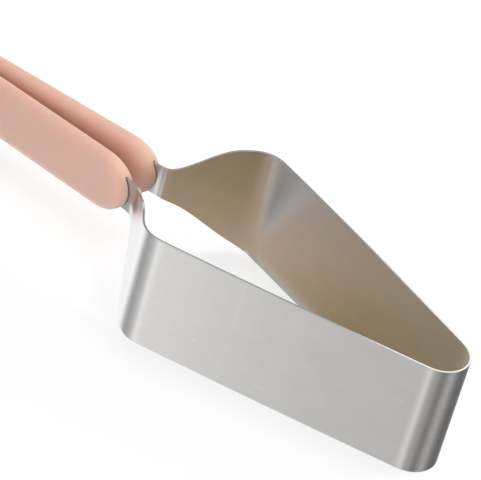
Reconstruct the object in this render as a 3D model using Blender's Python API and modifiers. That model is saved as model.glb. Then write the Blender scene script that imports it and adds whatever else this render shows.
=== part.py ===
"""Adjustable cake cutter: a wedge bent from one springy steel strip, with two handles.

Metres, +Z up. The nose of the wedge points along +X and the handles lie towards -X.
The lower rim stands on z = 0, and the origin is under the middle of the overall length.
Left is the +Y side and right is the -Y side, as seen by the hand that holds it.

The real strip is one piece of steel that flexes at the nose. Here it is divided where it
flexes, into the nose bend and two blades, and each blade turns about the flex point.
"""

import math

import bmesh
import bpy
from mathutils import Matrix, Vector

# Steel strip
STRIP_THICKNESS = 0.0009
WALL_HEIGHT = 0.0500
WALL_LENGTH = 0.1109
WALL_BOW = 0.0005
NOSE_RADIUS = 0.0114
CORNER_RADIUS = 0.0114
TANG_BEND_RADIUS = 0.0060
WEDGE_HALF_ANGLE = math.radians(14.2)
CORNER_TURN = math.radians(65.9)

# Where the nose flexes, and the gap that divides the strip there
FLEX_ANGLE = math.radians(38.0)
FLEX_GAP = 0.0003

# Edges of the back panels, which sweep from the full height to the tang
TOP_SWEEP_START = 0.0047
TOP_SWEEP_RUN = 0.0287
BOTTOM_SWEEP_LEAD = 0.0135
BOTTOM_SWEEP_RUN = 0.0503

# Tang, the narrow end of the strip inside the handle
TANG_HEIGHT = 0.0137
TANG_MID_HEIGHT = 0.0323
TANG_LENGTH = 0.0420
TANG_CORNER_RADIUS = 0.0030
ANCHOR_HOLE_RADIUS = 0.0025
ANCHOR_SETBACK = 0.0280

# Handles
HANDLE_LENGTH = 0.1000
HANDLE_HEIGHT = 0.0243
HANDLE_FRONT_THICKNESS = 0.0095
HANDLE_REAR_THICKNESS = 0.0078
HANDLE_FRONT_GAP = 0.0071
HANDLE_REAR_GAP = 0.0003
HANDLE_SETBACK = 0.0006
HANDLE_TILT = math.radians(2.8)
FRONT_ROUND_LENGTH = 0.0141
FRONT_EASE_LENGTH = 0.0070
REAR_ROUND_LENGTH = 0.0130
REAR_EASE_LENGTH = 0.0060

# Clearance between a moulded piece and the steel inside it
MOULD_CLEARANCE = 0.0003

# How far a cutter runs past the surface that it cuts
OVERRUN = 0.0020

# Shape exponents of the handle, where 2 is an ellipse and more is squarer
SECTION_EXPONENT = 2.8
FRONT_EXPONENT = 1.9
REAR_EXPONENT = 2.0
EASE_EXPONENT = 2.2

# Fineness of curves
ARC_STEP = math.radians(5.0)
WALL_STEPS = 8
SWEEP_STEPS = 16
CORNER_STEPS = 5
RING_POINTS = 32
ROUND_RINGS = 9
STRAIGHT_RINGS = 6
HOLE_SIDES = 24
CREASE_ANGLE = math.radians(30.0)

STEEL_COLOUR = (0.62, 0.61, 0.60, 1.0)
HANDLE_COLOUR = (0.86, 0.60, 0.52, 1.0)
STEEL_ROUGHNESS = 0.32
HANDLE_ROUGHNESS = 0.45


def new_collection(name):
    """Make a collection and link it to the scene."""
    collection = bpy.data.collections.new(name)
    bpy.context.scene.collection.children.link(collection)
    return collection


def new_material(name, colour, roughness, metallic):
    """Make a Principled material."""
    material = bpy.data.materials.new(name)
    material.use_nodes = True
    shader = material.node_tree.nodes["Principled BSDF"]
    shader.inputs["Base Color"].default_value = colour
    shader.inputs["Roughness"].default_value = roughness
    shader.inputs["Metallic"].default_value = metallic
    material.diffuse_color = colour
    return material


def new_object(name, mesh, collection, parent=None):
    """Link a mesh object, or an empty when there is no mesh."""
    item = bpy.data.objects.new(name, mesh)
    collection.objects.link(item)
    item.parent = parent
    return item


def run_end(point, heading, length, turn):
    """Where a run along the strip ends, when its heading changes evenly by the turn."""
    half = turn / 2
    chord = length * math.sin(half) / half if half else length
    return point + Vector((math.cos(heading + half), math.sin(heading + half))) * chord


def strip_runs():
    """Length and turn of each run along the middle of the right half of the strip.

    The strip starts at the nose tip and heads towards -Y, and a negative turn is clockwise
    from above. The panel is as long as it takes to bring the tang to its handle.
    """
    bow_turn = 8 * WALL_BOW / WALL_LENGTH
    nose_turn = -(math.pi / 2 - WEDGE_HALF_ANGLE - bow_turn / 2)
    corner_turn = -(CORNER_TURN - bow_turn / 2)
    bend_turn = CORNER_TURN - WEDGE_HALF_ANGLE - handle_toe_in()
    nose = (-nose_turn * (NOSE_RADIUS - STRIP_THICKNESS / 2), nose_turn)
    wall = (WALL_LENGTH, -bow_turn)
    corner = (-corner_turn * (CORNER_RADIUS - STRIP_THICKNESS / 2), corner_turn)
    bend = (bend_turn * (TANG_BEND_RADIUS + STRIP_THICKNESS / 2), bend_turn)
    tang = (HANDLE_SETBACK + TANG_LENGTH * math.cos(HANDLE_TILT), 0.0)
    point = Vector((NOSE_RADIUS - STRIP_THICKNESS / 2, 0.0))
    heading = -math.pi / 2
    for length, turn in (nose, wall, corner):
        point = run_end(point, heading, length, turn)
        heading += turn
    bend_offset = run_end(Vector((0.0, 0.0)), heading, *bend).y
    setback_offset = HANDLE_SETBACK * math.sin(heading + bend_turn)
    rise = -handle_front_offset() - point.y - bend_offset - setback_offset
    panel = (rise / math.sin(heading), 0.0)
    return {"nose": nose, "wall": wall, "corner": corner, "panel": panel, "bend": bend, "tang": tang}


def handle_front_offset():
    """Distance from the middle plane to the middle of a handle at its front tip."""
    return (HANDLE_FRONT_GAP + HANDLE_FRONT_THICKNESS) / 2


def handle_toe_in():
    """Angle by which each handle leans towards the middle plane on its way to the rear."""
    rear_offset = (HANDLE_REAR_GAP + HANDLE_REAR_THICKNESS) / 2
    return math.asin((handle_front_offset() - rear_offset) / HANDLE_LENGTH)


def run_starts(runs):
    """Distance along the strip at which each run starts, and the whole length."""
    starts = {}
    distance = 0.0
    for name, (length, _) in runs.items():
        starts[name] = distance
        distance += length
    starts["end"] = distance
    return starts


def strip_point(runs, distance):
    """Place in plan of the middle of the strip, on the right side, at a distance from the tip."""
    point = Vector((NOSE_RADIUS - STRIP_THICKNESS / 2, 0.0))
    heading = -math.pi / 2
    left_over = distance
    for length, turn in runs.values():
        part = min(left_over, length)
        part_turn = turn * part / length
        point = run_end(point, heading, part, part_turn)
        heading += part_turn
        left_over -= part
    return point


def ease(share):
    """Smooth step from 0 to 1."""
    share = min(max(share, 0.0), 1.0)
    return share * share * (3 - 2 * share)


def strip_edges(starts, distance):
    """Heights of the lower and the upper edge of the strip at a distance from the nose tip."""
    past_tip = max(distance - starts["tang"] - HANDLE_SETBACK, 0.0)
    middle = TANG_MID_HEIGHT - past_tip * math.tan(HANDLE_TILT)
    past_panel = distance - starts["panel"]
    top_share = ease((past_panel - TOP_SWEEP_START) / TOP_SWEEP_RUN)
    bottom_share = ease((past_panel + BOTTOM_SWEEP_LEAD) / BOTTOM_SWEEP_RUN)
    into_corner = max(distance - starts["end"] + TANG_CORNER_RADIUS, 0.0)
    inset = TANG_CORNER_RADIUS - math.sqrt(max(TANG_CORNER_RADIUS ** 2 - into_corner ** 2, 0.0))
    top = WALL_HEIGHT + (middle + TANG_HEIGHT / 2 - WALL_HEIGHT) * top_share
    bottom = (middle - TANG_HEIGHT / 2) * bottom_share
    return bottom + inset, top - inset


def spread(start, end, steps):
    """Evenly spaced values after the start, up to the end."""
    return [start + (end - start) * step / steps for step in range(1, steps + 1)]


def blade_distances(runs, starts, first):
    """Distances of the stations along a blade, closer where it bends or narrows."""
    values = [first]
    for name, (length, turn) in runs.items():
        steps = max(math.ceil(abs(turn) / ARC_STEP), 1)
        if name == "wall":
            steps = WALL_STEPS
        if name == "panel":
            steps = SWEEP_STEPS
        if name == "tang":
            length -= TANG_CORNER_RADIUS
        values += spread(max(starts[name], first), starts[name] + length, steps)
    return values + spread(values[-1], starts["end"], CORNER_STEPS)


def ribbon(name, stations, material, collection, parent):
    """A strip of steel along stations of (x, y, lower z, upper z), given its thickness by Solidify."""
    shape = bmesh.new()
    rows = []
    for x, y, low, high in stations:
        rows.append((shape.verts.new((x, y, low)), shape.verts.new((x, y, high))))
    for (low_a, high_a), (low_b, high_b) in zip(rows, rows[1:]):
        shape.faces.new((low_a, low_b, high_b, high_a))
    mesh = bpy.data.meshes.new(name)
    shape.to_mesh(mesh)
    shape.free()
    mesh.materials.append(material)
    item = new_object(name, mesh, collection, parent)
    solid = item.modifiers.new("thickness", "SOLIDIFY")
    solid.thickness = STRIP_THICKNESS
    solid.offset = 0.0
    solid.use_even_offset = True
    return item


def round_share(share, exponent):
    """Share of the full size reached at a share of the way along a rounded end."""
    return (1 - (1 - min(share, 1.0)) ** exponent) ** (1 / exponent)


def handle_profile(distance):
    """Half height and half thickness of the handle at a distance behind its front tip."""
    to_rear = HANDLE_LENGTH - distance
    thickness = HANDLE_FRONT_THICKNESS
    thickness += (HANDLE_REAR_THICKNESS - HANDLE_FRONT_THICKNESS) * distance / HANDLE_LENGTH
    height_share = round_share(distance / FRONT_ROUND_LENGTH, FRONT_EXPONENT)
    height_share *= round_share(to_rear / REAR_ROUND_LENGTH, REAR_EXPONENT)
    thickness_share = round_share(distance / FRONT_EASE_LENGTH, EASE_EXPONENT)
    thickness_share *= round_share(to_rear / REAR_EASE_LENGTH, EASE_EXPONENT)
    return HANDLE_HEIGHT / 2 * height_share, thickness / 2 * thickness_share


def handle_distances():
    """Distances of the rings along the handle, closer towards both rounded ends."""
    ring_shares = [1 - math.cos(math.pi / 2 * ring / ROUND_RINGS) for ring in range(1, ROUND_RINGS + 1)]
    front = [FRONT_ROUND_LENGTH * share for share in ring_shares]
    rear = [HANDLE_LENGTH - REAR_ROUND_LENGTH * share for share in reversed(ring_shares)]
    return front + spread(front[-1], rear[0], STRAIGHT_RINGS)[:-1] + rear


def signed_power(value, exponent):
    """A power that keeps the sign of its base."""
    return math.copysign(abs(value) ** exponent, value)


def handle_body(name, material, collection):
    """The handle without its slot: rounded sections along its own -X, with the tip at its origin."""
    shape = bmesh.new()
    rings = []
    for distance in handle_distances():
        half_height, half_thickness = handle_profile(distance)
        ring = []
        for index in range(RING_POINTS):
            angle = 2 * math.pi * index / RING_POINTS
            y = half_thickness * signed_power(math.cos(angle), 2 / SECTION_EXPONENT)
            z = half_height * signed_power(math.sin(angle), 2 / SECTION_EXPONENT)
            ring.append(shape.verts.new((-distance, y, z)))
        rings.append(ring)
    front_pole = shape.verts.new((0.0, 0.0, 0.0))
    rear_pole = shape.verts.new((-HANDLE_LENGTH, 0.0, 0.0))
    for index in range(RING_POINTS):
        after = (index + 1) % RING_POINTS
        for ring, behind in zip(rings, rings[1:]):
            shape.faces.new((ring[index], behind[index], behind[after], ring[after]))
        shape.faces.new((front_pole, rings[0][index], rings[0][after]))
        shape.faces.new((rear_pole, rings[-1][after], rings[-1][index]))
    bmesh.ops.recalc_face_normals(shape, faces=shape.faces)
    mesh = bpy.data.meshes.new(name)
    shape.to_mesh(mesh)
    shape.free()
    mesh.materials.append(material)
    return new_object(name, mesh, collection)


def cutter_object(name, shape, collection, parent, matrix):
    """A guide solid that is hidden from renders, placed in its parent's frame."""
    mesh = bpy.data.meshes.new(name)
    shape.to_mesh(mesh)
    shape.free()
    item = new_object(name, mesh, collection, parent)
    item.matrix_local = matrix
    item.hide_render = True
    item.display_type = "WIRE"
    return item


def rod(radius, length):
    """A cylinder along Z, centred on the origin."""
    shape = bmesh.new()
    bmesh.ops.create_cone(
        shape, cap_ends=True, segments=HOLE_SIDES, radius1=radius, radius2=radius, depth=length)
    return shape


def add_boolean(item, other, operation):
    """Cut an object with another one, or join the two."""
    modifier = item.modifiers.new(other.name, "BOOLEAN")
    modifier.operation = operation
    modifier.solver = "EXACT"
    modifier.object = other


def bake(item):
    """Apply the modifiers, and shade round surfaces smooth with sharp creases."""
    bpy.context.view_layer.update()
    evaluated = item.evaluated_get(bpy.context.evaluated_depsgraph_get())
    mesh = bpy.data.meshes.new_from_object(evaluated)
    mesh.name = item.name
    item.modifiers.clear()
    item.data = mesh
    mesh.shade_smooth()
    mesh.set_sharp_from_angle(angle=CREASE_ANGLE)


def anchor_matrix():
    """Place of the anchor hole in the handle's frame: a cylinder's axis turned across the handle."""
    return Matrix.Translation((-ANCHOR_SETBACK, 0.0, 0.0)) @ Matrix.Rotation(math.pi / 2, 4, "X")


def handle_cutters(item, collection):
    """Cut the slot for the tang, and add the peg of plastic that fills the tang's anchor hole."""
    slot_width = STRIP_THICKNESS + 2 * MOULD_CLEARANCE
    slot_height = TANG_HEIGHT + 2 * MOULD_CLEARANCE
    slot_depth = TANG_LENGTH + MOULD_CLEARANCE + TANG_HEIGHT / 2 * math.sin(HANDLE_TILT)
    slot = bmesh.new()
    size = Matrix.Diagonal((slot_depth + OVERRUN, slot_width, slot_height, 1.0))
    bmesh.ops.create_cube(slot, size=1.0, matrix=size)
    place = Matrix.Translation(((OVERRUN - slot_depth) / 2, 0.0, 0.0))
    cut = cutter_object("tang_slot_cut", slot, collection, item, place)
    add_boolean(item, cut, "DIFFERENCE")
    peg_length = (slot_width + HANDLE_REAR_THICKNESS) / 2
    peg = rod(ANCHOR_HOLE_RADIUS - MOULD_CLEARANCE, peg_length)
    join = cutter_object("anchor_peg_join", peg, collection, item, anchor_matrix())
    add_boolean(item, join, "UNION")


def handle_matrix(runs, starts, side, origin):
    """Frame of a handle under its flex axis: tip on the tang, -X along the tang."""
    tip = strip_point(runs, starts["tang"] + HANDLE_SETBACK)
    place = Matrix.Translation((tip.x - origin.x, -side * tip.y - origin.y, TANG_MID_HEIGHT))
    yaw = Matrix.Rotation(side * handle_toe_in(), 4, "Z")
    pitch = Matrix.Rotation(-HANDLE_TILT, 4, "Y")
    return place @ yaw @ pitch


def build():
    """Build the whole cutter."""
    for item in list(bpy.data.objects):
        bpy.data.objects.remove(item, do_unlink=True)
    parts = new_collection("adjustable_cake_cutter")
    cutters = new_collection("cutters")
    steel = new_material("steel", STEEL_COLOUR, STEEL_ROUGHNESS, 1.0)
    plastic = new_material("handle_plastic", HANDLE_COLOUR, HANDLE_ROUGHNESS, 0.0)

    runs = strip_runs()
    starts = run_starts(runs)
    handle_tip = strip_point(runs, starts["tang"] + HANDLE_SETBACK)
    reach = HANDLE_LENGTH * math.cos(handle_toe_in()) * math.cos(HANDLE_TILT)
    cutter = new_object("cutter_frame", None, parts)
    cutter.location.x = -(NOSE_RADIUS + handle_tip.x - reach) / 2

    flex = FLEX_ANGLE * (NOSE_RADIUS - STRIP_THICKNESS / 2)
    nose_steps = 2 * math.ceil(FLEX_ANGLE / ARC_STEP)
    nose_end = flex - FLEX_GAP / 2
    nose_stations = []
    for distance in [-nose_end] + spread(-nose_end, nose_end, nose_steps):
        point = strip_point(runs, abs(distance))
        nose_stations.append((point.x, math.copysign(point.y, distance), 0.0, WALL_HEIGHT))
    bake(ribbon("nose_bend", nose_stations, steel, parts, cutter))

    axis_point = strip_point(runs, flex)
    handle_mesh = None
    for name, side in (("right", -1), ("left", 1)):
        axis = new_object(name + "_flex_axis", None, parts, cutter)
        axis.location = (axis_point.x, -side * axis_point.y, 0.0)
        origin = axis.location
        stations = []
        for distance in blade_distances(runs, starts, flex + FLEX_GAP / 2):
            point = strip_point(runs, distance)
            low, high = strip_edges(starts, distance)
            stations.append((point.x - origin.x, -side * point.y - origin.y, low, high))
        blade = ribbon(name + "_blade", stations, steel, parts, axis)
        frame = handle_matrix(runs, starts, side, origin)
        hole = rod(ANCHOR_HOLE_RADIUS, STRIP_THICKNESS + 2 * OVERRUN)
        hole_place = frame @ anchor_matrix()
        cut = cutter_object(name + "_anchor_hole_cut", hole, cutters, axis, hole_place)
        add_boolean(blade, cut, "DIFFERENCE")
        bake(blade)
        if handle_mesh is None:
            handle = handle_body(name + "_handle", plastic, parts)
            handle_cutters(handle, cutters)
            bake(handle)
            handle_mesh = handle.data
        else:
            handle = new_object(name + "_handle", handle_mesh, parts)
        handle.parent = axis
        handle.matrix_local = frame
    bpy.context.view_layer.update()


build()
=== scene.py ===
"""Looks of the adjustable cake cutter: satin steel strip, peach plastic handles, studio and camera.

Metres, +Z up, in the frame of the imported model. Left is the +Y side and right is the -Y side.
The strip's shape and the handles' shape follow the same sizes as the construction, with finer
meshes, rounded rims and bends that start and end gradually.
"""

import math

import bmesh
import bpy
import numpy as np
from mathutils import Matrix, Quaternion, Vector


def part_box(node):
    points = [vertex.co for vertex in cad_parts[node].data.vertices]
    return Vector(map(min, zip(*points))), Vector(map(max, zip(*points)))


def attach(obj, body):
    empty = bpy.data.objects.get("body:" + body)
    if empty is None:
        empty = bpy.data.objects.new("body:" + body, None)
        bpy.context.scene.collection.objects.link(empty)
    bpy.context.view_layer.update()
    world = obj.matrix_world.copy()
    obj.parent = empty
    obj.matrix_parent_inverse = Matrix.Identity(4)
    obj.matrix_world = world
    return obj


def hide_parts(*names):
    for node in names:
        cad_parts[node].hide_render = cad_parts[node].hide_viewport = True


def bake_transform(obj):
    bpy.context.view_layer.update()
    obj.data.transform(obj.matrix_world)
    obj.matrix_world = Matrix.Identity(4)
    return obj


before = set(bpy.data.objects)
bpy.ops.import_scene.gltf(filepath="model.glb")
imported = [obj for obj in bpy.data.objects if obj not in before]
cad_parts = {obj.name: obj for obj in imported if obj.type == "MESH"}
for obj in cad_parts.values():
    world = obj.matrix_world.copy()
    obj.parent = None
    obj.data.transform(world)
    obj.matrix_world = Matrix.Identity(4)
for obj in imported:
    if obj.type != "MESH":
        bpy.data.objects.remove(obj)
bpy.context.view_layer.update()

# Steel strip, as in the construction. Lengths run along the middle of its thickness, and radii
# are those of its outer face
STRIP_THICKNESS = 0.0009
WALL_LENGTH = 0.1109
WALL_BOW = 0.0005
NOSE_RADIUS = 0.0114
CORNER_RADIUS = 0.0114
TANG_BEND_RADIUS = 0.0060
WEDGE_HALF_ANGLE = math.radians(14.2)
CORNER_TURN = math.radians(65.9)

# The strip narrows to the tang in two smooth sweeps, placed from where the back panel starts
TOP_SWEEP_START = 0.0047
TOP_SWEEP_RUN = 0.0287
BOTTOM_SWEEP_LEAD = 0.0135
BOTTOM_SWEEP_RUN = 0.0503
TANG_HEIGHT = 0.0137
TANG_MID_HEIGHT = 0.0323
TANG_LENGTH = 0.0420
TANG_CORNER_RADIUS = 0.0030

# Handles, as in the construction. Each slot runs on past the end of its tang by the overrun
HANDLE_LENGTH = 0.1000
HANDLE_HEIGHT = 0.0243
HANDLE_FRONT_THICKNESS = 0.0095
HANDLE_REAR_THICKNESS = 0.0078
HANDLE_FRONT_GAP = 0.0071
HANDLE_REAR_GAP = 0.0003
HANDLE_SETBACK = 0.0006
HANDLE_TILT = math.radians(2.8)
FRONT_ROUND_LENGTH = 0.0141
FRONT_EASE_LENGTH = 0.0070
REAR_ROUND_LENGTH = 0.0130
REAR_EASE_LENGTH = 0.0060
MOULD_CLEARANCE = 0.0003
OVERRUN = 0.0020

# Roundness of the handles' outlines, where 2 is an ellipse and more is squarer
SECTION_EXPONENT = 2.8
FRONT_EXPONENT = 1.9
REAR_EXPONENT = 2.0
EASE_EXPONENT = 2.2

# Finer detail that only the looks have
RIM_RADIUS = 0.00010
RIM_STEPS = 4
RIM_SUPPORT = 0.0006
FACE_ROWS = 4
STATION_STEP = 0.0006
LINE_STEP = 0.0001
BEND_EASE = 0.0060
HANDLE_POINTS = 96
HANDLE_ROUND_RINGS = 22
HANDLE_STRAIGHT_RINGS = 36
SHARP_ANGLE = math.radians(35.0)

# Patterns in the steel: scale along the strip, scale around its section, detail and roughness
LINE_PATTERN = (30.0, 2600.0, 3.0, 0.6)
CLOUD_PATTERN = (45.0, 110.0, 3.0, 0.55)
MARK_PATTERN = (115.0, 470.0, 1.5, 0.5)
RIPPLE_PATTERN = (700.0, 8.0, 2.0, 0.5)
MARK_RANGE = (0.62, 0.80)

# Steel: how much each pattern adds to the shade, what the shade does to colour and roughness, how
# much smoother the rims are, and the height of the relief
LINE_SHARE = 0.40
CLOUD_SHARE = 0.60
MARK_SHARE = 0.45
STEEL_COLOUR_RANGE = (0.20, 1.0)
STEEL_DARK = (0.592, 0.584, 0.568, 1.0)
STEEL_LIGHT = (0.680, 0.672, 0.656, 1.0)
STEEL_ROUGHNESS_RANGE = (0.3, 0.7)
STEEL_ROUGHNESS = (0.315, 0.345)
RIM_POLISH = 0.13
STEEL_ANISOTROPY = 0.88
STEEL_RELIEF = 0.000012
RIPPLE_STRENGTH = 1.0
LINE_STRENGTH = 0.25

# Plastic: faint clouding in its colour, and a fine moulded skin in its roughness and relief
CLOUDING = {"Scale": 60.0, "Detail": 3.0, "Roughness": 0.5}
SKIN = {"Scale": 5200.0, "Detail": 2.0, "Roughness": 0.6}
PLASTIC_DARK = (0.758, 0.459, 0.360, 1.0)
PLASTIC_LIGHT = (0.783, 0.484, 0.380, 1.0)
SKIN_RANGE = (0.3, 0.7)
PLASTIC_ROUGHNESS = (0.42, 0.52)
SKIN_RELIEF = 0.00003
SKIN_STRENGTH = 0.20
PLASTIC_FINISH = {
    "IOR": 1.65,
    "Specular IOR Level": 1.0,
    "Sheen Weight": 0.25,
    "Sheen Roughness": 0.45,
    "Subsurface Weight": 0.50,
    "Subsurface Radius": (1.0, 0.32, 0.15),
    "Subsurface Scale": 0.0030,
}

# Camera for 481 by 480 pixels, aimed at a point inside the wedge. Lens and sensor in millimetres
CAMERA_TARGET = Vector((0.01280, 0.01525, 0.0250))
CAMERA_DISTANCE = 1.5179
CAMERA_AZIMUTH = math.radians(28.617)
CAMERA_ELEVATION = math.radians(38.294)
CAMERA_ROLL = math.radians(16.132)
CAMERA_LENS = 299.376
CAMERA_CLIP_END = 100.0
SENSOR_WIDTH = 36.0

# Surround that reflections see: light levels by azimuth in degrees, set by trial. A ramp of
# colours holds them as shares of the scale
SURROUND = (
    (-180, 2.00), (-166, 1.45), (-154, 0.92), (-142, 0.34), (-118, 0.75), (-108, 0.75), (-98, 2.20),
    (-92, 1.02), (-86, 0.45), (-83, 0.55), (-76, 1.40), (-64, 0.58), (-46, 0.50), (-26, 0.20),
    (4, 0.72), (24, 0.30), (44, 0.18), (70, 0.20), (110, 0.90), (138, 1.56), (160, 1.50),
)
SURROUND_SCALE = 2.5

# From just below the horizon up to the zenith, no level is above this one. Here and overhead,
# starts and ends are the Z of a direction, from -1 to 1
HORIZON_LEVEL = 1.05
HORIZON_START = -0.50
HORIZON_END = -0.20

# Overhead, the levels by azimuth give way to a single dim one, and at the zenith to a brighter one
OVERHEAD_LEVEL = 0.42
OVERHEAD_START = 0.15
OVERHEAD_END = 0.55
ZENITH_LEVEL = 1.15
ZENITH_START = 0.72
ZENITH_END = 0.95

# Reflections turn slightly cooler towards the handles' side, and matt surfaces get an even fill
COOL_COLOUR = (0.975, 0.985, 1.025, 1.0)
COOL_END = -0.7
FILL_LEVEL = 0.04

# Floor: the camera sees a steady glow and a matt share that keeps the shadow, fading to white, and
# other rays see one plain level
FLOOR_SIZE = 12.0
FLOOR_GLOW = 0.66
FLOOR_SHARE = 0.38
FLOOR_LEVEL = 0.80
FLOOR_FADE_START = 0.22
FLOOR_FADE_END = 0.75

# Painted shade card inside the wedge: its colours, where one turns into the other, and its outline
CARD_BACK_COLOUR = (0.72, 0.53, 0.39, 1.0)
CARD_FRONT_COLOUR = (0.40, 0.29, 0.13, 1.0)
CARD_BACK = -0.01
CARD_FRONT = 0.06
CARD_INSET = 0.002
CARD_HEIGHT = 0.0003
CARD_STEP = 0.004

# Soft lamps that light matt surfaces and the floor: place, side length and power
LAMP_TARGET = (0.0, 0.0, 0.02)
SOFT_LAMPS = {
    "key_light": ((0.55, -1.15, 0.50), 0.9, 10.0),
    "top_light": ((0.0, 0.0, 1.40), 1.0, 13.0),
    "left_light": ((0.40, 1.10, 0.50), 1.0, 15.2),
}

# Small warm lamp that shows only in reflections, for the pale stretch of the near upper rim
RIM_LAMP_PLACE = (0.012, 0.332, 0.333)
RIM_LAMP_TARGET = (0.10, 0.0, 0.05)
RIM_LAMP_SIZE = 0.16
RIM_LAMP_POWER = 0.12
RIM_LAMP_COLOUR = (1.0, 0.95, 0.88)


def set_inputs(tree, node, inputs):
    """Link or set a node's inputs by name or index."""
    for name, value in inputs.items():
        if isinstance(value, bpy.types.NodeSocket):
            tree.links.new(value, node.inputs[name])
        else:
            node.inputs[name].default_value = value


def add_node(tree, kind, inputs=None, **settings):
    """Add a shader node, set its attributes, and link or set its inputs."""
    node = tree.nodes.new(kind)
    for name, value in settings.items():
        setattr(node, name, value)
    set_inputs(tree, node, inputs or {})
    return node


def maths(tree, operation, first, second=0.0):
    """Result of a Math node."""
    return add_node(tree, "ShaderNodeMath", {0: first, 1: second}, operation=operation).outputs[0]


def remap(tree, value, low, high, to_low, to_high, kind="LINEAR"):
    """A value carried from one range to another, and held at both ends."""
    inputs = {"Value": value, 1: low, 2: high, 3: to_low, 4: to_high}
    return add_node(tree, "ShaderNodeMapRange", inputs, interpolation_type=kind).outputs[0]


def smooth_step(tree, value, low, high, to_high=1.0):
    """A value that rises smoothly from 0 between a low and a high value of another."""
    return remap(tree, value, low, high, 0.0, to_high, "SMOOTHSTEP")


def noise(tree, vector, **inputs):
    """Value of a noise texture."""
    return add_node(tree, "ShaderNodeTexNoise", {"Vector": vector, **inputs}).outputs[0]


def mix_colours(tree, share, first, second):
    """Blend of two colours by a share."""
    return add_node(tree, "ShaderNodeMix", {0: share, 6: first, 7: second}, data_type="RGBA").outputs[2]


def relief(tree, height, depth, strength, **inputs):
    """Normal of a surface with fine relief."""
    inputs.update({"Height": height, "Distance": depth, "Strength": strength})
    return add_node(tree, "ShaderNodeBump", inputs).outputs[0]


def grey(level):
    """Opaque grey of a level."""
    return (level, level, level, 1.0)


def new_material(name):
    """A material with its node tree and its Principled shader."""
    material = bpy.data.materials.new(name)
    material.use_nodes = True
    return material, material.node_tree, material.node_tree.nodes["Principled BSDF"]


def link_object(name, data):
    """Put an object that shows a mesh, lamp or camera in the scene."""
    item = bpy.data.objects.new(name, data)
    bpy.context.scene.collection.objects.link(item)
    return item


def shape_object(name, shape):
    """Put an object made from a bmesh in the scene, and free the bmesh."""
    mesh = bpy.data.meshes.new(name)
    shape.to_mesh(mesh)
    shape.free()
    return link_object(name, mesh)


def smooth_mesh(mesh):
    """Shade a mesh smooth between its sharp edges."""
    mesh.shade_smooth()
    mesh.set_sharp_from_angle(angle=SHARP_ANGLE)


def steel_material():
    """Satin steel, rolled along the strip: fine lines along its length, faint clouding and marks."""
    material, tree, shader = new_material("satin_steel")
    along = add_node(tree, "ShaderNodeAttribute", attribute_name="along").outputs["Fac"]
    around = add_node(tree, "ShaderNodeAttribute", attribute_name="around").outputs["Fac"]
    rim = add_node(tree, "ShaderNodeAttribute", attribute_name="rim").outputs["Fac"]
    place = add_node(tree, "ShaderNodeCombineXYZ", {0: along, 1: around}).outputs[0]

    def pattern(along_scale, around_scale, detail, roughness):
        scales = {0: place, 1: (along_scale, around_scale, 1.0)}
        scaled = add_node(tree, "ShaderNodeVectorMath", scales, operation="MULTIPLY").outputs[0]
        return noise(tree, scaled, Scale=1.0, Detail=detail, Roughness=roughness)

    lines = pattern(*LINE_PATTERN)
    clouds = pattern(*CLOUD_PATTERN)
    marks = smooth_step(tree, pattern(*MARK_PATTERN), *MARK_RANGE)
    shade = 0.0
    for value, share in ((lines, LINE_SHARE), (clouds, CLOUD_SHARE), (marks, MARK_SHARE)):
        shade = maths(tree, "ADD", shade, maths(tree, "MULTIPLY", value, share))
    level = remap(tree, shade, *STEEL_COLOUR_RANGE, 0.0, 1.0)
    roughness = remap(tree, shade, *STEEL_ROUGHNESS_RANGE, *STEEL_ROUGHNESS)
    polish = maths(tree, "MULTIPLY", rim, RIM_POLISH)
    waves = relief(tree, pattern(*RIPPLE_PATTERN), STEEL_RELIEF, RIPPLE_STRENGTH)
    tangent = add_node(tree, "ShaderNodeTangent", direction_type="UV_MAP", uv_map="strip")
    set_inputs(tree, shader, {
        "Base Color": mix_colours(tree, level, STEEL_DARK, STEEL_LIGHT),
        "Metallic": 1.0,
        "Roughness": maths(tree, "SUBTRACT", roughness, polish),
        "Anisotropic": STEEL_ANISOTROPY,
        "Tangent": tangent.outputs[0],
        "Normal": relief(tree, lines, STEEL_RELIEF, LINE_STRENGTH, Normal=waves),
    })
    return material


def plastic_material():
    """Soft peach plastic with a satin moulded skin."""
    material, tree, shader = new_material("peach_plastic")
    place = add_node(tree, "ShaderNodeTexCoord").outputs["Object"]
    skin = noise(tree, place, **SKIN)
    set_inputs(tree, shader, {
        "Base Color": mix_colours(tree, noise(tree, place, **CLOUDING), PLASTIC_DARK, PLASTIC_LIGHT),
        "Roughness": remap(tree, skin, *SKIN_RANGE, *PLASTIC_ROUGHNESS),
        "Normal": relief(tree, skin, SKIN_RELIEF, SKIN_STRENGTH),
        **PLASTIC_FINISH,
    })
    return material


def handle_front_offset():
    """Distance from the middle plane to the middle of a handle at its front tip."""
    return (HANDLE_FRONT_GAP + HANDLE_FRONT_THICKNESS) / 2


def handle_toe_in():
    """Angle by which each handle leans towards the middle plane on its way to the rear."""
    rear_offset = (HANDLE_REAR_GAP + HANDLE_REAR_THICKNESS) / 2
    return math.asin((handle_front_offset() - rear_offset) / HANDLE_LENGTH)


def run_end(point, heading, length, turn):
    """Where a run along the strip ends, when its heading changes evenly by the turn."""
    half = turn / 2
    chord = length * math.sin(half) / half if half else length
    return point + Vector((math.cos(heading + half), math.sin(heading + half))) * chord


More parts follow.
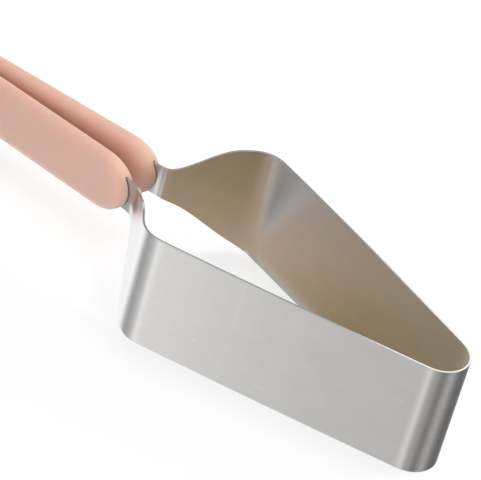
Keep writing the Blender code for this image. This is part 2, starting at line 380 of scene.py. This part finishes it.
def strip_runs():
    """Length and turn of each run along the middle of the right half of the strip."""
    # A shallow arc turns by eight times its bow over its length
    bow_turn = 8 * WALL_BOW / WALL_LENGTH
    nose_turn = -(math.pi / 2 - WEDGE_HALF_ANGLE - bow_turn / 2)
    corner_turn = -(CORNER_TURN - bow_turn / 2)
    bend_turn = CORNER_TURN - WEDGE_HALF_ANGLE - handle_toe_in()
    nose = (-nose_turn * (NOSE_RADIUS - STRIP_THICKNESS / 2), nose_turn)
    wall = (WALL_LENGTH, -bow_turn)
    corner = (-corner_turn * (CORNER_RADIUS - STRIP_THICKNESS / 2), corner_turn)
    bend = (bend_turn * (TANG_BEND_RADIUS + STRIP_THICKNESS / 2), bend_turn)
    tang = (HANDLE_SETBACK + TANG_LENGTH * math.cos(HANDLE_TILT), 0.0)
    point = Vector((NOSE_RADIUS - STRIP_THICKNESS / 2, 0.0))
    heading = -math.pi / 2
    for length, turn in (nose, wall, corner):
        point = run_end(point, heading, length, turn)
        heading += turn
    bend_offset = run_end(Vector((0.0, 0.0)), heading, *bend).y
    setback_offset = HANDLE_SETBACK * math.sin(heading + bend_turn)
    rise = -handle_front_offset() - point.y - bend_offset - setback_offset
    panel = (rise / math.sin(heading), 0.0)
    return {"nose": nose, "wall": wall, "corner": corner, "panel": panel, "bend": bend, "tang": tang}


def run_starts(runs):
    """Distance along the strip at which each run starts, and the whole length."""
    starts = {}
    distance = 0.0
    for name, (length, _) in runs.items():
        starts[name] = distance
        distance += length
    starts["end"] = distance
    return starts


def traced(headings):
    """Places reached by stepping along headings from the nose tip."""
    steps = np.stack((np.cos(headings), np.sin(headings)), axis=1) * LINE_STEP
    return np.concatenate((np.zeros((1, 2)), np.cumsum(steps, axis=0)))[:-1]


def centre_line(runs, starts):
    """Distances, places and headings along the right half, with bends that ease in and out."""
    nose_length, nose_turn = runs["nose"]
    marks = [-BEND_EASE, *starts.values(), starts["end"] + BEND_EASE]
    headings = [-math.pi / 2 - nose_turn * BEND_EASE / nose_length, -math.pi / 2]
    for _, turn in runs.values():
        headings.append(headings[-1] + turn)
    headings.append(headings[-1])

    # The heading is averaged over a short stretch, so that each bend starts and ends gradually
    half = int(BEND_EASE / LINE_STEP / 2)
    count = int(starts["end"] / LINE_STEP) + 2
    spread = (np.arange(-half, count + half) + 0.5) * LINE_STEP
    plain = np.interp(spread, marks, headings)
    eased = np.convolve(plain, np.ones(2 * half + 1) / (2 * half + 1), "valid")
    distances = np.arange(count) * LINE_STEP
    path = traced(eased)

    # The easing shifts the line slightly, so the middle of each flat run is put back where it was
    drift = path - traced(plain[half:half + count])
    flats = [0.0] + [starts[name] + runs[name][0] / 2 for name in ("wall", "panel", "tang")]
    for axis in (0, 1):
        kept = np.interp(flats, distances, drift[:, axis])
        path[:, axis] -= np.interp(distances, flats, kept)
    heading = np.interp(distances, (np.arange(count) + 0.5) * LINE_STEP, eased)
    x = path[:, 0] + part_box("nose_bend")[1].x - STRIP_THICKNESS / 2
    return distances, x, path[:, 1], heading


def ease(share):
    """Smooth step from 0 to 1."""
    share = np.clip(share, 0.0, 1.0)
    return share * share * (3 - 2 * share)


def strip_edges(starts, distance):
    """Heights of the lower and the upper edge of the strip at distances from the nose tip."""
    wall_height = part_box("nose_bend")[1].z
    past_tip = np.maximum(distance - starts["tang"] - HANDLE_SETBACK, 0.0)
    middle = TANG_MID_HEIGHT - past_tip * math.tan(HANDLE_TILT)
    past_panel = distance - starts["panel"]
    top_share = ease((past_panel - TOP_SWEEP_START) / TOP_SWEEP_RUN)
    bottom_share = ease((past_panel + BOTTOM_SWEEP_LEAD) / BOTTOM_SWEEP_RUN)
    into_corner = np.maximum(distance - starts["end"] + TANG_CORNER_RADIUS, 0.0)
    inset = TANG_CORNER_RADIUS - np.sqrt(np.maximum(TANG_CORNER_RADIUS ** 2 - into_corner ** 2, 0.0))
    top = wall_height + (middle + TANG_HEIGHT / 2 - wall_height) * top_share
    bottom = (middle - TANG_HEIGHT / 2) * bottom_share
    return bottom + inset, top - inset


def rim_ring():
    """Section of the strip: offset from the middle, share of the height and distance from that height.

    It runs up the outer face, over the rounded upper rim, down the inner face and under the lower rim.
    """
    half = STRIP_THICKNESS / 2
    up = [(half, 0.0, RIM_RADIUS), (half, 0.0, RIM_SUPPORT)]
    up += [(half, row / FACE_ROWS, 0.0) for row in range(1, FACE_ROWS)]
    up += [(half, 1.0, -RIM_SUPPORT)]
    for step in range(RIM_STEPS + 1):
        angle = math.pi / 2 * step / RIM_STEPS
        across = half - RIM_RADIUS + RIM_RADIUS * math.cos(angle)
        up.append((across, 1.0, -RIM_RADIUS + RIM_RADIUS * math.sin(angle)))
    over = [(-across, share, rise) for across, share, rise in reversed(up[-RIM_STEPS - 1:])]
    down = [(-half, 1.0, -RIM_SUPPORT)]
    down += [(-half, row / FACE_ROWS, 0.0) for row in range(FACE_ROWS - 1, 0, -1)]
    down += [(-half, 0.0, RIM_SUPPORT)]
    under = [(-across, 0.0, -rise) for across, _, rise in up[-RIM_STEPS - 1:]]
    back = [(across, 0.0, -rise) for across, _, rise in reversed(up[-RIM_STEPS:])]
    return up + over + down + under + back


def strip_points(side, starts, line, stations):
    """Places of the section's points at each station, one row per station."""
    distances, x, y, heading = line
    px = np.interp(stations, distances, x)
    py = np.interp(stations, distances, y)
    turned = np.interp(stations, distances, heading)
    low, high = strip_edges(starts, stations)
    across, share, rise = np.array(rim_ring()).T
    points = np.empty((len(stations), len(across), 3))
    points[..., 0] = px[:, None] - np.sin(turned)[:, None] * across
    points[..., 1] = -side * (py[:, None] + np.cos(turned)[:, None] * across)
    points[..., 2] = low[:, None] + (high - low)[:, None] * share + rise
    return points


def strip_faces(side, stations, around):
    """Quads between neighbouring sections and a cap at each end, with their corners' texture places."""
    rows = len(stations)
    columns = around.shape[1] - 1
    faces = []
    corners = []
    for row in range(rows - 1):
        for column in range(columns):
            quad = [(row, column), (row, column + 1), (row + 1, column + 1), (row + 1, column)]
            if side > 0:
                quad.reverse()
            faces.append([r * columns + c % columns for r, c in quad])
            corners += [(around[r, c], stations[r]) for r, c in quad]
    caps = [list(range(columns)), [(rows - 1) * columns + c for c in range(columns)]]
    caps[0 if side < 0 else 1].reverse()
    for cap in caps:
        faces.append(cap)
        corners += [(0.0, 0.0)] * columns
    return faces, corners


def strip_half(name, side, starts, line, material):
    """One half of the strip, from the middle of the nose to the end of the tang."""
    stations = np.linspace(0.0, starts["end"], int(starts["end"] / STATION_STEP) + 1)
    points = strip_points(side, starts, line, stations)
    rows, columns = points.shape[:2]
    step = np.linalg.norm(np.diff(points, axis=1, append=points[:, :1]), axis=2)
    around = np.concatenate((np.zeros((rows, 1)), np.cumsum(step, axis=1)), axis=1)
    faces, corners = strip_faces(side, stations, around)
    mesh = bpy.data.meshes.new(name)
    mesh.from_pydata(points.reshape(-1, 3).tolist(), [], faces)
    layer = mesh.uv_layers.new(name="strip")
    layer.data.foreach_set("uv", np.array(corners, np.float32).ravel())

    # Points that lie clear of both faces are on the rounded rims
    on_rim = [abs(across) < STRIP_THICKNESS / 2 - RIM_RADIUS / 4 for across, _, _ in rim_ring()]
    attributes = {
        "along": np.repeat(stations, columns),
        "around": around[:, :-1].ravel(),
        "rim": np.tile(on_rim, rows),
    }
    for label, values in attributes.items():
        attribute = mesh.attributes.new(label, "FLOAT", "POINT")
        attribute.data.foreach_set("value", values.astype(np.float32))
    mesh.materials.append(material)
    smooth_mesh(mesh)
    return link_object(name, mesh)


def round_share(share, exponent):
    """Share of the full size reached at a share of the way along a rounded end."""
    return (1 - (1 - min(share, 1.0)) ** exponent) ** (1 / exponent)


def handle_profile(distance):
    """Half height and half thickness of the handle at a distance behind its front tip."""
    to_rear = HANDLE_LENGTH - distance
    thickness = HANDLE_FRONT_THICKNESS
    thickness += (HANDLE_REAR_THICKNESS - HANDLE_FRONT_THICKNESS) * distance / HANDLE_LENGTH
    height_share = round_share(distance / FRONT_ROUND_LENGTH, FRONT_EXPONENT)
    height_share *= round_share(to_rear / REAR_ROUND_LENGTH, REAR_EXPONENT)
    thickness_share = round_share(distance / FRONT_EASE_LENGTH, EASE_EXPONENT)
    thickness_share *= round_share(to_rear / REAR_EASE_LENGTH, EASE_EXPONENT)
    return HANDLE_HEIGHT / 2 * height_share, thickness / 2 * thickness_share


def handle_distances():
    """Distances of the rings along the handle, closer towards both rounded ends."""
    steps = range(1, HANDLE_ROUND_RINGS + 1)
    ring_shares = [1 - math.cos(math.pi / 2 * ring / HANDLE_ROUND_RINGS) for ring in steps]
    front = [FRONT_ROUND_LENGTH * share for share in ring_shares]
    rear = [HANDLE_LENGTH - REAR_ROUND_LENGTH * share for share in reversed(ring_shares)]
    gap = (rear[0] - front[-1]) / HANDLE_STRAIGHT_RINGS
    return front + [front[-1] + gap * step for step in range(1, HANDLE_STRAIGHT_RINGS)] + rear


def signed_power(value, exponent):
    """A power that keeps the sign of its base."""
    return math.copysign(abs(value) ** exponent, value)


def handle_shape():
    """Rounded sections along -X with the tip at the origin, closed at both poles."""
    shape = bmesh.new()
    rings = []
    for distance in handle_distances():
        half_height, half_thickness = handle_profile(distance)
        ring = []
        for index in range(HANDLE_POINTS):
            angle = 2 * math.pi * index / HANDLE_POINTS
            y = half_thickness * signed_power(math.cos(angle), 2 / SECTION_EXPONENT)
            z = half_height * signed_power(math.sin(angle), 2 / SECTION_EXPONENT)
            ring.append(shape.verts.new((-distance, y, z)))
        rings.append(ring)
    front_pole = shape.verts.new((0.0, 0.0, 0.0))
    rear_pole = shape.verts.new((-HANDLE_LENGTH, 0.0, 0.0))
    for index in range(HANDLE_POINTS):
        after = (index + 1) % HANDLE_POINTS
        for ring, behind in zip(rings, rings[1:]):
            shape.faces.new((ring[index], behind[index], behind[after], ring[after]))
        shape.faces.new((front_pole, rings[0][index], rings[0][after]))
        shape.faces.new((rear_pole, rings[-1][after], rings[-1][index]))
    bmesh.ops.recalc_face_normals(shape, faces=shape.faces)
    return shape


def slot_cutter(name):
    """Box that cuts the tang's slot from the front tip backwards."""
    depth = TANG_LENGTH + MOULD_CLEARANCE + OVERRUN
    width = STRIP_THICKNESS + 2 * MOULD_CLEARANCE
    height = TANG_HEIGHT + 2 * MOULD_CLEARANCE
    shape = bmesh.new()
    bmesh.ops.create_cube(shape, size=1.0, matrix=Matrix.Diagonal((depth + OVERRUN, width, height, 1.0)))
    cutter = shape_object(name, shape)
    cutter.location.x = (OVERRUN - depth) / 2
    return cutter


def handle_piece(name, side, starts, line, material):
    """A handle with the slot that its tang sits in, placed on the tang."""
    item = shape_object(name, handle_shape())
    item.data.materials.append(material)
    cutter = slot_cutter(name + "_slot")
    modifier = item.modifiers.new("slot", "BOOLEAN")
    modifier.solver = "EXACT"
    modifier.object = cutter
    bpy.context.view_layer.update()
    cut = item.evaluated_get(bpy.context.evaluated_depsgraph_get())
    mesh = bpy.data.meshes.new_from_object(cut)
    mesh.name = name
    item.modifiers.clear()
    item.data = mesh
    bpy.data.objects.remove(cutter, do_unlink=True)
    smooth_mesh(mesh)
    distances, x, y, _ = line
    tip = starts["tang"] + HANDLE_SETBACK
    place = (np.interp(tip, distances, x), -side * np.interp(tip, distances, y), TANG_MID_HEIGHT)
    yaw = Matrix.Rotation(side * handle_toe_in(), 4, "Z")
    pitch = Matrix.Rotation(-HANDLE_TILT, 4, "Y")
    mesh.transform(Matrix.Translation(place) @ yaw @ pitch)
    return item


def build_cutter(starts, line):
    """Both halves of the strip, and both handles riding on their arms' bodies."""
    steel = steel_material()
    plastic = plastic_material()
    for name, side in (("right", -1), ("left", 1)):
        arm = name + "_arm"
        half = strip_half(name + "_strip", side, starts, line, steel)
        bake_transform(half)
        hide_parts(name + "_blade", "nose_bend")
        handle = handle_piece(name + "_grip", side, starts, line, plastic)
        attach(handle, arm)
        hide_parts(name + "_handle")


def azimuth_level(tree, parts):
    """Level of the surround by azimuth alone."""
    azimuth = maths(tree, "ARCTAN2", parts["Y"], parts["X"])
    turn = maths(tree, "ADD", maths(tree, "DIVIDE", azimuth, 2 * math.pi), 0.5)
    ramp = add_node(tree, "ShaderNodeValToRGB", {0: turn})
    ramp.color_ramp.interpolation = "LINEAR"
    stops = ramp.color_ramp.elements
    stops.remove(stops[1])
    for index, (degrees, level) in enumerate((*SURROUND, (180, SURROUND[0][1]))):
        position = degrees / 360 + 0.5
        stop = stops.new(position) if index else stops[0]
        stop.position = position
        stop.color = grey(level / SURROUND_SCALE)
    return maths(tree, "MULTIPLY", ramp.outputs["Color"], SURROUND_SCALE)


def surround_level(tree, parts):
    """Level that reflections see: by azimuth, held down towards the horizon, and even overhead."""
    around = azimuth_level(tree, parts)
    excess = maths(tree, "SUBTRACT", around, maths(tree, "MINIMUM", around, HORIZON_LEVEL))
    near = smooth_step(tree, parts["Z"], HORIZON_START, HORIZON_END)
    around = maths(tree, "SUBTRACT", around, maths(tree, "MULTIPLY", near, excess))
    upward = smooth_step(tree, parts["Z"], OVERHEAD_START, OVERHEAD_END)
    change = maths(tree, "SUBTRACT", OVERHEAD_LEVEL, around)
    level = maths(tree, "ADD", around, maths(tree, "MULTIPLY", upward, change))
    zenith = smooth_step(tree, parts["Z"], ZENITH_START, ZENITH_END, ZENITH_LEVEL - OVERHEAD_LEVEL)
    return maths(tree, "ADD", level, zenith)


def studio_world():
    """White to the camera and through glass, an even fill for matt surfaces, the surround for gloss."""
    world = bpy.data.worlds.new("studio")
    bpy.context.scene.world = world
    world.use_nodes = True
    tree = world.node_tree
    tree.nodes.clear()
    direction = add_node(tree, "ShaderNodeTexCoord").outputs["Generated"]
    parts = add_node(tree, "ShaderNodeSeparateXYZ", {0: direction}).outputs
    rays = add_node(tree, "ShaderNodeLightPath").outputs
    matt = maths(tree, "MULTIPLY", rays["Is Diffuse Ray"], FILL_LEVEL)
    gloss = maths(tree, "MULTIPLY", rays["Is Glossy Ray"], surround_level(tree, parts))
    plain = maths(tree, "ADD", rays["Is Camera Ray"], rays["Is Transmission Ray"])
    strength = maths(tree, "ADD", plain, maths(tree, "ADD", matt, gloss))
    cool = remap(tree, parts["X"], 0.0, COOL_END, 0.0, 1.0)
    cool = maths(tree, "MULTIPLY", cool, rays["Is Glossy Ray"])
    colour = mix_colours(tree, cool, grey(1.0), COOL_COLOUR)
    background = add_node(tree, "ShaderNodeBackground", {"Color": colour, "Strength": strength})
    add_node(tree, "ShaderNodeOutputWorld", {"Surface": background.outputs[0]})


def studio_floor():
    """Pale floor that keeps the object's shadow and fades to plain white further away."""
    shape = bmesh.new()
    bmesh.ops.create_grid(shape, x_segments=1, y_segments=1, size=FLOOR_SIZE / 2)
    floor = shape_object("floor", shape)
    material, tree, shader = new_material("floor_white")
    tree.nodes.remove(shader)
    matt = add_node(tree, "ShaderNodeBsdfDiffuse", {"Color": grey(FLOOR_LEVEL)})
    shaded = add_node(tree, "ShaderNodeBsdfDiffuse", {"Color": grey(FLOOR_SHARE)})
    glow = add_node(tree, "ShaderNodeEmission", {"Strength": FLOOR_GLOW})
    both = add_node(tree, "ShaderNodeAddShader", {0: shaded.outputs[0], 1: glow.outputs[0]})
    white = add_node(tree, "ShaderNodeEmission")
    place = add_node(tree, "ShaderNodeTexCoord").outputs["Object"]
    reach = add_node(tree, "ShaderNodeVectorMath", {0: place}, operation="LENGTH").outputs["Value"]
    fade = smooth_step(tree, reach, FLOOR_FADE_START, FLOOR_FADE_END)
    shown = add_node(tree, "ShaderNodeMixShader", {0: fade, 1: both.outputs[0], 2: white.outputs[0]})
    seen = add_node(tree, "ShaderNodeLightPath").outputs["Is Camera Ray"]
    mixed = add_node(tree, "ShaderNodeMixShader", {0: seen, 1: matt.outputs[0], 2: shown.outputs[0]})
    set_inputs(tree, tree.nodes["Material Output"], {"Surface": mixed.outputs[0]})
    floor.data.materials.append(material)
    floor.visible_glossy = False


def studio_card(starts, line):
    """Glowing card inside the wedge, seen only in reflections: painted warm shade on the strip's inner
    faces.
    """
    distances, x, y, heading = line
    stations = np.arange(CARD_STEP, starts["bend"], CARD_STEP)
    turned = np.interp(stations, distances, heading)
    px = np.interp(stations, distances, x) + np.sin(turned) * CARD_INSET
    py = np.interp(stations, distances, y) - np.cos(turned) * CARD_INSET
    edge = list(zip(px, py)) + list(zip(px[::-1], -py[::-1]))
    shape = bmesh.new()
    shape.faces.new([shape.verts.new((a, b, CARD_HEIGHT)) for a, b in edge])
    card = shape_object("painted_shade_card", shape)
    material, tree, shader = new_material("painted_shade_glow")
    tree.nodes.remove(shader)
    place = add_node(tree, "ShaderNodeTexCoord").outputs["Object"]
    parts = add_node(tree, "ShaderNodeSeparateXYZ", {0: place}).outputs
    # Painted shade: the card's glow is darker towards the nose
    share = smooth_step(tree, parts["X"], CARD_BACK, CARD_FRONT)
    colour = mix_colours(tree, share, CARD_BACK_COLOUR, CARD_FRONT_COLOUR)
    glow = add_node(tree, "ShaderNodeEmission", {"Color": colour})
    set_inputs(tree, tree.nodes["Material Output"], {"Surface": glow.outputs[0]})
    card.data.materials.append(material)
    for ray in ("camera", "diffuse", "transmission", "volume_scatter", "shadow"):
        setattr(card, "visible_" + ray, False)


def softbox(name, place, target, size, power):
    """A square area lamp aimed at a point."""
    data = bpy.data.lights.new(name, "AREA")
    data.shape = "SQUARE"
    data.size = size
    data.energy = power
    lamp = link_object(name, data)
    lamp.location = place
    lamp.rotation_mode = "QUATERNION"
    lamp.rotation_quaternion = (Vector(target) - Vector(place)).to_track_quat("-Z", "Y")
    lamp.visible_camera = False
    return lamp


def studio_lamps():
    """Soft key from the right, soft lights from above and from the left, and a small rim light."""
    for name, (place, size, power) in SOFT_LAMPS.items():
        lamp = softbox(name, place, LAMP_TARGET, size, power)
        lamp.visible_glossy = False
    rim = softbox("rim_light", RIM_LAMP_PLACE, RIM_LAMP_TARGET, RIM_LAMP_SIZE, RIM_LAMP_POWER)
    rim.data.color = RIM_LAMP_COLOUR
    rim.visible_diffuse = False


def studio_camera():
    """Camera at the photographed angle."""
    data = bpy.data.cameras.new("camera")
    data.sensor_width = SENSOR_WIDTH
    data.lens = CAMERA_LENS
    data.clip_end = CAMERA_CLIP_END
    camera = link_object("camera", data)
    flat = math.cos(CAMERA_ELEVATION)
    back_x = math.sin(CAMERA_AZIMUTH) * flat
    back_y = -math.cos(CAMERA_AZIMUTH) * flat
    back = Vector((back_x, back_y, math.sin(CAMERA_ELEVATION)))
    camera.location = CAMERA_TARGET + back * CAMERA_DISTANCE
    camera.rotation_mode = "QUATERNION"
    level = (-back).to_track_quat("-Z", "Y")
    camera.rotation_quaternion = level @ Quaternion((0.0, 0.0, 1.0), CAMERA_ROLL)
    bpy.context.scene.camera = camera


studio_camera()
studio_world()
studio_floor()
studio_lamps()
strip = strip_runs()
strip_starts = run_starts(strip)
strip_line = centre_line(strip, strip_starts)
studio_card(strip_starts, strip_line)
build_cutter(strip_starts, strip_line)
bpy.context.scene.view_settings.view_transform = "Standard"
